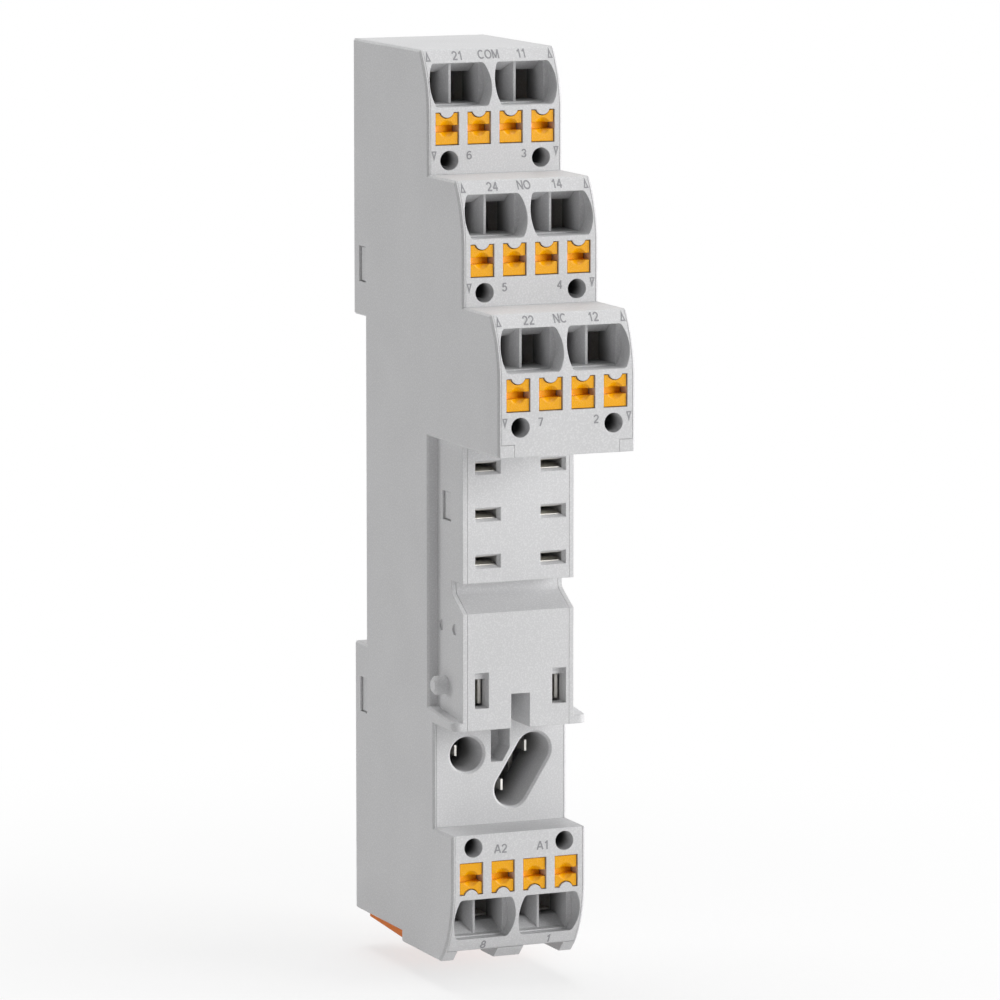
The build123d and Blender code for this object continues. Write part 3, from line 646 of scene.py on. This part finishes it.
@dataclass
class SmoothMoulding:
    """A copy of a CAD moulding whose curved faces shade smoothly."""

    node: str
    slot: Slot
    body: str = "housing"
    # The face whose openings get painted shade by depth.
    face: TerminalFace | PortFace | None = None
    rim: float = 0.55 * MM

    def build(self, cad: bpy.types.Object, palette: Palette) -> bpy.types.Object:
        """Joins the loose triangles, marks the sharp edges and stands in for the CAD node.

        Args:
            cad: the CAD node's object.
            palette: the finishes.

        Returns:
            The smooth copy.
        """
        mesh = smooth_copy(cad)
        if self.face is not None:
            self.mark_shade_depth(mesh)
        piece = new_piece(f"{self.node}_moulded", mesh, self.body)
        even = piece.modifiers.new("even_shading", "WEIGHTED_NORMAL")
        even.mode = "FACE_AREA"
        even.keep_sharp = True
        dress(piece, palette.of_slot(self.slot))
        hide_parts(self.node)
        return piece

    def mark_shade_depth(self, mesh: bpy.types.Mesh) -> None:
        """Notes how far behind the face each point inside the rim lies, in metres, as the mask of the
        painted shade.

        Args:
            mesh: the smooth copy's mesh.
        """
        flat = np.empty(len(mesh.vertices) * 3, np.float32)
        mesh.vertices.foreach_get("co", flat)
        points = flat.reshape(-1, 3).astype(float)
        low, high = points.min(axis=0), points.max(axis=0)
        inside = (points > low + self.rim) & (points < high - self.rim)
        depth = self.face.depth(points) * (inside[:, 0] & inside[:, 2])
        layer = mesh.attributes.new(SHADE_DEPTH, "FLOAT", "POINT")
        layer.data.foreach_set("value", np.clip(depth, 0, None).astype(np.float32))


def bow(
    middle: tuple[float, float], radii: tuple[float, float], start: float, end: float, steps: int = 14
) -> np.ndarray:
    """Points on part of an ellipse, middle + radii (cos a, sin a), for angles a in degrees.

    Args:
        middle: the ellipse's middle.
        radii: its half width and half height.
        start: the first angle.
        end: the last angle.
        steps: how many pieces the bow has.

    Returns:
        One row of two coordinates for each point.
    """
    angles = np.radians(np.linspace(start, end, steps + 1))
    return np.array(middle) + np.array(radii) * np.stack([np.cos(angles), np.sin(angles)], axis=1)


def pen_line(*parts: Sequence[float] | np.ndarray) -> np.ndarray:
    """Joins single points and bows into one pen line."""
    return np.concatenate([np.atleast_2d(np.array(part, float)) for part in parts])


@dataclass(frozen=True)
class Glyph:
    """One character's width and pen lines, in a box that is one unit high."""

    width: float
    lines: tuple[np.ndarray, ...]


GLYPHS = {
    "1": Glyph(0.48, (pen_line((0.34, 1.07), (0.34, -0.07)), pen_line((0.34, 0.98), (0.06, 0.74)))),
    "2": Glyph(
        0.60,
        (
            pen_line(bow((0.29, 0.71), (0.29, 0.29), 172, -40), (0.03, 0.02)),
            pen_line((-0.04, 0.0), (0.62, 0.0)),
        ),
    ),
    "3": Glyph(
        0.60, (bow((0.28, 0.75), (0.27, 0.25), 165, -90), bow((0.28, 0.25), (0.30, 0.25), 90, -165))
    ),
    "4": Glyph(
        0.64,
        (
            pen_line((0.47, 1.07), (0.47, -0.07)),
            pen_line((0.44, 0.98), (0.0, 0.27)),
            pen_line((-0.05, 0.27), (0.66, 0.27)),
        ),
    ),
    "5": Glyph(
        0.60,
        (
            pen_line((0.56, 1.0), (0.08, 1.0)),
            pen_line((0.12, 1.0), (0.05, 0.50)),
            bow((0.28, 0.32), (0.30, 0.32), 140, -155),
        ),
    ),
    "6": Glyph(
        0.60,
        (
            pen_line(bow((0.34, 0.55), (0.34, 0.45), 48, 180), (0.0, 0.33)),
            bow((0.30, 0.31), (0.30, 0.31), 180, -180),
        ),
    ),
    "7": Glyph(0.58, (pen_line((-0.04, 1.0), (0.60, 1.0)), pen_line((0.56, 0.98), (0.20, -0.05)))),
    "8": Glyph(
        0.60, (bow((0.30, 0.75), (0.25, 0.25), -90, 270), bow((0.30, 0.26), (0.30, 0.26), 90, 450))
    ),
    "A": Glyph(
        0.80,
        (
            pen_line((0.0, -0.05), (0.38, 1.05)),
            pen_line((0.80, -0.05), (0.42, 1.05)),
            pen_line((0.14, 0.30), (0.66, 0.30)),
        ),
    ),
    "C": Glyph(0.76, (bow((0.41, 0.5), (0.41, 0.5), 45, 315, 20),)),
    "M": Glyph(
        0.82,
        (
            pen_line((0.0, 1.07), (0.0, -0.07)),
            pen_line((0.82, 1.07), (0.82, -0.07)),
            pen_line((0.02, 1.03), (0.43, 0.02)),
            pen_line((0.80, 1.03), (0.39, 0.02)),
        ),
    ),
    "N": Glyph(
        0.68,
        (
            pen_line((0.0, 1.07), (0.0, -0.07)),
            pen_line((0.68, 1.07), (0.68, -0.07)),
            pen_line((0.02, 1.03), (0.66, -0.03)),
        ),
    ),
    "O": Glyph(0.86, (bow((0.43, 0.5), (0.43, 0.5), 90, 450, 24),)),
}


@dataclass(frozen=True)
class Pen:
    """A pen that turns a line into a flat ribbon of even width."""

    width: float
    bluntness: float = 0.75

    def edges(self, line: np.ndarray) -> np.ndarray:
        """The ribbon's left and right edges.

        With unit normals a and b before and after a point, its edge points lie at plus
        and minus half the width times (a + b) / (1 + a . b). That divisor is never
        less than the bluntness, so that sharp corners don't run out to spikes.

        Args:
            line: one row of two coordinates for each point.

        Returns:
            The left row of points, then the right one.
        """
        steps = np.diff(line, axis=0)
        normals = np.stack([-steps[:, 1], steps[:, 0]], axis=1)
        normals = normals / np.linalg.norm(steps, axis=1, keepdims=True)
        closed = self.closed(line)
        before = np.concatenate([normals[-1:] if closed else normals[:1], normals])
        after = np.concatenate([normals, normals[:1] if closed else normals[-1:]])
        spread = np.maximum(1 + (before * after).sum(axis=1, keepdims=True), self.bluntness)
        offset = (before + after) / spread * self.width / 2
        return np.stack([line + offset, line - offset])

    def closed(self, line: np.ndarray) -> bool:
        """Whether the line ends where it starts."""
        return bool(np.allclose(line[0], line[-1]))

    def faces(self, line: np.ndarray) -> list[tuple[int, ...]]:
        """The ribbon's faces for points in the order left, right, sunk left, sunk right."""
        count = len(line)
        first = np.arange(count - 1)
        left, right, low_left, low_right = (first + row * count for row in range(4))
        quads = np.concatenate([
            np.stack([right, right + 1, left + 1, left], axis=1),
            np.stack([low_left, low_left + 1, low_right + 1, low_right], axis=1),
            np.stack([left, left + 1, low_left + 1, low_left], axis=1),
            np.stack([right, low_right, low_right + 1, right + 1], axis=1),
        ])
        ends = []
        if not self.closed(line):
            last = count - 1
            ends = [
                (0, 2 * count, 3 * count, count),
                (last, last + count, last + 3 * count, last + 2 * count),
            ]
        return [tuple(quad) for quad in quads.tolist()] + ends


@dataclass(frozen=True)
class Mark:
    """One printed word or number: its middle and size on a terminal face, in millimetres."""

    text: str
    across: float
    inset: float
    height: float = 0.92


@dataclass(frozen=True)
class Arrow:
    """One printed narrow triangle, pointing up or down, in millimetres."""

    across: float
    inset: float
    up: bool
    height: float = 1.06
    width: float = 0.58
    stroke: float = 0.13


@dataclass
class TerminalPrint:
    """The printing on one terminal face."""

    face: TerminalFace
    marks: Sequence[Mark]
    arrows: Sequence[Arrow] = ()
    film: float = 0.02
    film_step: float = 0.004
    sunk: float = 0.01
    pen_share: float = 0.15
    letter_gap: float = 0.27
    condensed: float = 0.97
    merge_distance: float = 0.0005 * MM

    def letter_meshes(self, mark: Mark) -> list[bpy.types.Mesh]:
        """A word as thin ribbons that follow the face.

        Args:
            mark: what is printed and where.

        Returns:
            One mesh for each pen line, in place.
        """
        glyphs = [GLYPHS[character] for character in mark.text]
        starts = np.cumsum([0.0] + [glyph.width + self.letter_gap for glyph in glyphs])
        middle = np.array([(starts[-1] - self.letter_gap) / 2, 0.5])
        pen = Pen(mark.height * self.pen_share)
        size = np.array([self.condensed, 1.0]) * (mark.height - pen.width)
        meshes = []
        for glyph, start in zip(glyphs, starts[:-1]):
            for number, line in enumerate(glyph.lines):
                drawn = (line + np.array([start, 0.0]) - middle) * size
                meshes.append(self.ribbon_mesh(mark, pen, drawn, self.film + number * self.film_step))
        return meshes

    def ribbon_mesh(self, mark: Mark, pen: Pen, line: np.ndarray, film: float) -> bpy.types.Mesh:
        """One pen line of a word.

        Args:
            mark: the word.
            pen: the pen that draws it.
            line: the pen line round the word's middle, in millimetres.
            film: how thick the ink is, in millimetres.

        Returns:
            The mesh, in place.
        """
        edges = np.tile(pen.edges(line).reshape(-1, 2), (2, 1))
        lift = np.repeat([film, -self.sunk], 2 * len(line))
        points = self.face.point(mark.across + edges[:, 0], mark.inset + self.face.way * edges[:, 1], lift)
        mesh = bpy.data.meshes.new("letters")
        mesh.from_pydata(points.tolist(), [], pen.faces(line))
        mesh.update()
        return mesh

    def arrow_mesh(self, arrow: Arrow) -> bpy.types.Mesh:
        """A hollow narrow triangle as a thin film that follows the face.

        The inner triangle is the outer one drawn towards the middle of its inscribed
        circle, by the stroke's share of that circle's radius.

        Args:
            arrow: its place and size.

        Returns:
            The mesh, in place.
        """
        way_up = 1 if arrow.up else -1
        half = arrow.width / 2
        outer = np.array([[-half, 0.0], [half, 0.0], [0.0, arrow.height]])
        side = math.hypot(half, arrow.height)
        inner_radius = half * arrow.height / (half + side)
        centre = np.array([0.0, inner_radius])
        hole = centre + (outer - centre) * (1 - arrow.stroke / inner_radius)
        ring = np.concatenate([outer, hole]) - np.array([0.0, arrow.height / 2])
        ring = ring * way_up
        across = np.tile(arrow.across + ring[:, 0], 2)
        inset = np.tile(arrow.inset + self.face.way * ring[:, 1], 2)
        lift = np.repeat([self.film, -self.sunk], len(ring))
        points = self.face.point(across, inset, lift)
        inner, low_outer, low_inner = (row * len(outer) for row in (1, 2, 3))
        steps = [(corner, (corner + 1) % len(outer)) for corner in range(len(outer))]
        faces = [(a, b, b + inner, a + inner) for a, b in steps]
        faces += [(b + low_outer, a + low_outer, a + low_inner, b + low_inner) for a, b in steps]
        faces += [(a, a + low_outer, b + low_outer, b) for a, b in steps]
        faces += [(b + inner, b + low_inner, a + low_inner, a + inner) for a, b in steps]
        mesh = bpy.data.meshes.new("arrow")
        mesh.from_pydata(points.tolist(), [], faces)
        mesh.update()
        return mesh

    def build(self, palette: Palette) -> bpy.types.Object:
        """Joins this face's markings into one piece.

        Args:
            palette: the finishes.

        Returns:
            The printed piece.
        """
        parts = [part for mark in self.marks for part in self.letter_meshes(mark)]
        parts += [self.arrow_mesh(arrow) for arrow in self.arrows]
        joined = bmesh.new()
        for part in parts:
            joined.from_mesh(part)
            bpy.data.meshes.remove(part)
        bmesh.ops.remove_doubles(joined, verts=joined.verts, dist=self.merge_distance)
        mesh = bpy.data.meshes.new(f"printing_{self.face.tier.value}")
        joined.to_mesh(mesh)
        joined.free()
        piece = new_piece(f"printing_{self.face.tier.value}", mesh, "housing")
        dress(piece, palette.ink)
        return piece


@dataclass
class Housing:
    """Covers, centre frame, relay block and terminal fronts."""

    plain_nodes: Sequence[str] = ("left_cover", "right_cover", "centre_frame")
    upper_inset: float = 0.68
    lower_inset: float = 11.1
    arrow_column: float = 7.0
    word_rise: float = 0.05
    arrow_rise: float = 0.1

    def contact_print(self, tier: Tier, words: Sequence[str], numbers: Sequence[str]) -> TerminalPrint:
        """The printing of a contact tier.

        Args:
            tier: which face.
            words: the left number, the middle word and the right number above the wire entries.
            numbers: the left and the right number beside the probe holes.

        Returns:
            The face's printing.
        """
        left, middle, right = words
        marks = [
            Mark(left, -3.6, self.upper_inset),
            Mark(middle, -0.03, self.upper_inset - self.word_rise),
            Mark(right, 3.75, self.upper_inset - self.word_rise),
            Mark(numbers[0], -2.98, self.lower_inset),
            Mark(numbers[1], 3.3, self.lower_inset),
        ]
        arrows = [
            Arrow(-self.arrow_column, self.upper_inset, True),
            Arrow(self.arrow_column, self.upper_inset, True),
            Arrow(-self.arrow_column, self.lower_inset, False),
            Arrow(self.arrow_column, self.lower_inset - self.arrow_rise, False),
        ]
        return TerminalPrint(TerminalFace(tier), marks, arrows)

    def coil_print(self) -> TerminalPrint:
        """The printing of the coil tier."""
        marks = [
            Mark("A2", -2.12, 11.3, 0.98),
            Mark("A1", 2.75, 11.3, 0.98),
            Mark("8", -3.35, 0.62, 0.95),
            Mark("1", 4.2, 0.68, 0.95),
        ]
        return TerminalPrint(TerminalFace(Tier.COIL), marks)

    def build(self, nodes: Mapping[str, bpy.types.Object], palette: Palette) -> None:
        """Makes the smooth mouldings and their printing.

        Args:
            nodes: the CAD nodes' objects.
            palette: the finishes.
        """
        for node in self.plain_nodes:
            SmoothMoulding(node, Slot.HOUSING).build(nodes[node], palette)
        SmoothMoulding("relay_block", Slot.HOUSING, face=PortFace()).build(nodes["relay_block"], palette)
        for tier in Tier:
            node = f"terminal_front_{tier.value}"
            SmoothMoulding(node, Slot.HOUSING, face=TerminalFace(tier)).build(nodes[node], palette)
        self.contact_print(Tier.COM, ("21", "COM", "11"), ("6", "3")).build(palette)
        self.contact_print(Tier.NO, ("24", "NO", "14"), ("5", "4")).build(palette)
        self.contact_print(Tier.NC, ("22", "NC", "12"), ("7", "2")).build(palette)
        self.coil_print().build(palette)


@dataclass
class BentSpring:
    """A spring whose one end stays with the housing while the other follows a moving body."""

    node: str
    mover: str
    axis: int
    from_low: bool
    share: float

    def build(self, cad: bpy.types.Object, palette: Palette) -> bpy.types.Object:
        """Copies the CAD spring and lets it bend between the two bodies.

        Args:
            cad: the CAD node's object.
            palette: the finishes.

        Returns:
            The bending copy.
        """
        low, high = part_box(self.node)
        still, moving = (low, high) if self.from_low else (high, low)
        start = Vector(still)
        end = Vector(still)
        end[self.axis] += (moving[self.axis] - still[self.axis]) * self.share
        piece = new_piece(f"{self.node}_bent", smooth_copy(cad), None)
        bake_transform(piece, "housing", self.mover, start, end)
        dress(piece, palette.springs)
        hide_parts(self.node)
        return piece


@dataclass
class Clamps:
    """The push buttons, clamp springs and contacts of every terminal."""

    button_start: str = "button_"
    spring_start: str = "clamp_spring_"
    contact_starts: tuple[str, ...] = ("contact_", "module_contact_")
    bent_share: float = 0.36

    def build(self, nodes: Mapping[str, bpy.types.Object], palette: Palette) -> None:
        """Dresses the CAD nodes, and lets each clamp spring's leg follow its button.

        Args:
            nodes: the CAD nodes' objects.
            palette: the finishes.
        """
        for name, piece in list(nodes.items()):
            if name.startswith(self.button_start):
                dress(piece, palette.buttons)
            elif name.startswith(self.spring_start):
                button = name.replace(self.spring_start, self.button_start)
                BentSpring(name, button, 1, False, self.bent_share).build(piece, palette)
                continue
            elif name.startswith(self.contact_starts):
                dress(piece, palette.contacts)
            else:
                continue
            log.info("piece %s: dressed", name)


@dataclass
class RailLatch:
    """The orange latch that holds the socket on its rail, and its zigzag spring."""

    node: str = "rail_latch"
    spring: str = "latch_spring"

    def build(self, nodes: Mapping[str, bpy.types.Object], palette: Palette) -> None:
        """Dresses the latch and lets the spring shorten between its peg and the latch.

        Args:
            nodes: the CAD nodes' objects.
            palette: the finishes.
        """
        dress(nodes[self.node], palette.latch)
        log.info("piece %s: dressed", self.node)
        BentSpring(self.spring, self.node, 2, True, 1.0).build(nodes[self.spring], palette)


@dataclass(frozen=True)
class SoftLamp:
    """A large square lamp that looks at the object."""

    name: str
    place: tuple[float, float, float]
    side: float
    level: float

    def build(self, target: Vector) -> None:
        """Makes the lamp.

        A square lamp of power P lights a surface at distance d, straight before it,
        with P / (pi d squared), and a matt surface of colour 1 then shows that over
        pi, so P is the wanted level times pi squared times d squared.

        Args:
            target: the point that it looks at.
        """
        away = target - Vector(self.place)
        data = bpy.data.lights.new(self.name, "AREA")
        data.shape = "SQUARE"
        data.size = self.side
        data.energy = self.level * math.pi**2 * away.length_squared
        lamp = bpy.data.objects.new(self.name, data)
        lamp.location = self.place
        lamp.rotation_euler = away.to_track_quat("-Z", "Y").to_euler()
        bpy.context.scene.collection.objects.link(lamp)


@dataclass
class Studio:
    """Camera, lamps, floor and the white surroundings."""

    camera_place: tuple[float, float, float] = (-0.25773, -0.62990, 0.09590)
    camera_way: tuple[float, float, float] = (0.38482, 0.91184, -0.14307)
    lens: float = 226.36
    sensor: float = 36.0
    surroundings: float = 0.15
    clip_near: float = 0.01
    clip_far: float = 20.0
    floor_radius: float = 4.0
    floor_rings: int = 12
    floor_spokes: int = 48
    latch_room: float = 3.1 * MM
    lamps: Sequence[SoftLamp] = (
        SoftLamp("front_lamp", (0.45, -0.55, 0.16), 0.34, 0.47),
        SoftLamp("right_lamp", (0.75, -0.25, 0.16), 0.36, 0.45),
        SoftLamp("left_lamp", (-0.65, 0.50, 0.16), 0.36, 0.21),
        SoftLamp("top_lamp", (0.00, 0.00, 0.75), 0.50, 0.38),
        SoftLamp("back_lamp", (0.00, 0.28, 0.70), 0.50, 0.21),
    )

    def camera(self) -> None:
        """Makes the camera at the photograph's place."""
        data = bpy.data.cameras.new("camera")
        data.sensor_width = self.sensor
        data.lens = self.lens
        data.clip_start = self.clip_near
        data.clip_end = self.clip_far
        camera = bpy.data.objects.new("camera", data)
        camera.location = self.camera_place
        camera.rotation_euler = Vector(self.camera_way).to_track_quat("-Z", "Y").to_euler()
        bpy.context.scene.collection.objects.link(camera)
        bpy.context.scene.camera = camera

    def floor(self, height: float) -> None:
        """Makes the floor as rings of points round the object.

        A point lies at its ring's radius times the cosine and the sine of its angle,
        and the rings' radii grow with the square of their number.

        Args:
            height: where the object stands, in metres.
        """
        rings, spokes = self.floor_rings, self.floor_spokes
        radii = (np.arange(1, rings + 1) / rings) ** 2 * self.floor_radius
        angles = np.arange(spokes) * 2 * np.pi / spokes
        across = np.outer(radii, np.cos(angles)).ravel()
        along = np.outer(radii, np.sin(angles)).ravel()
        points = np.stack([across, along, np.full(rings * spokes, height)], axis=1)
        points = np.concatenate([points, [[0.0, 0.0, height]]])
        ring, spoke = np.meshgrid(np.arange(rings - 1), np.arange(spokes), indexing="ij")
        first = (ring * spokes + spoke).ravel()
        after = (ring * spokes + (spoke + 1) % spokes).ravel()
        quads = np.stack([first, first + spokes, after + spokes, after], axis=1)
        middle = [(rings * spokes, number, (number + 1) % spokes) for number in range(spokes)]
        mesh = bpy.data.meshes.new("floor")
        mesh.from_pydata(points.tolist(), [], quads.tolist() + middle)
        mesh.update()
        floor = bpy.data.objects.new("floor", mesh)
        floor.data.materials.append(StudioFloor("pale_floor").material())
        bpy.context.scene.collection.objects.link(floor)
        floor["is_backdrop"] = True

    def world(self) -> None:
        """Even soft light from all round, which the viewer sees as plain white."""
        bench = Bench(bpy.data.worlds.new("surroundings"))
        white = (1.0, 1.0, 1.0, 1.0)
        lit = bench.node("ShaderNodeBackground", None, {"Color": white, "Strength": self.surroundings})
        shown = bench.node("ShaderNodeBackground", None, {"Color": white})
        mixed = bench.node("ShaderNodeMixShader", None, {0: seen_rays(bench), 1: lit, 2: shown})
        bench.node("ShaderNodeOutputWorld", None, {0: mixed})
        bpy.context.scene.world = bench.owner

    def build(self, low: Vector, high: Vector) -> None:
        """Makes everything round the object.

        Args:
            low: the object's lowest corner.
            high: its highest corner.
        """
        self.camera()
        self.floor(low.z - self.latch_room)
        self.world()
        for lamp in self.lamps:
            lamp.build((low + high) / 2)
        bpy.context.scene.view_settings.view_transform = "Standard"


def main() -> None:
    """Builds the studio and dresses the socket."""
    logging.basicConfig(level=logging.INFO, format="%(message)s")
    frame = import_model()
    cad_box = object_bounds()
    Studio().build(*cad_box)
    palette = Palette()
    nodes = frame["nodes"]
    Housing().build(nodes, palette)
    Clamps().build(nodes, palette)
    RailLatch().build(nodes, palette)


if __name__ == "__main__":
    main()
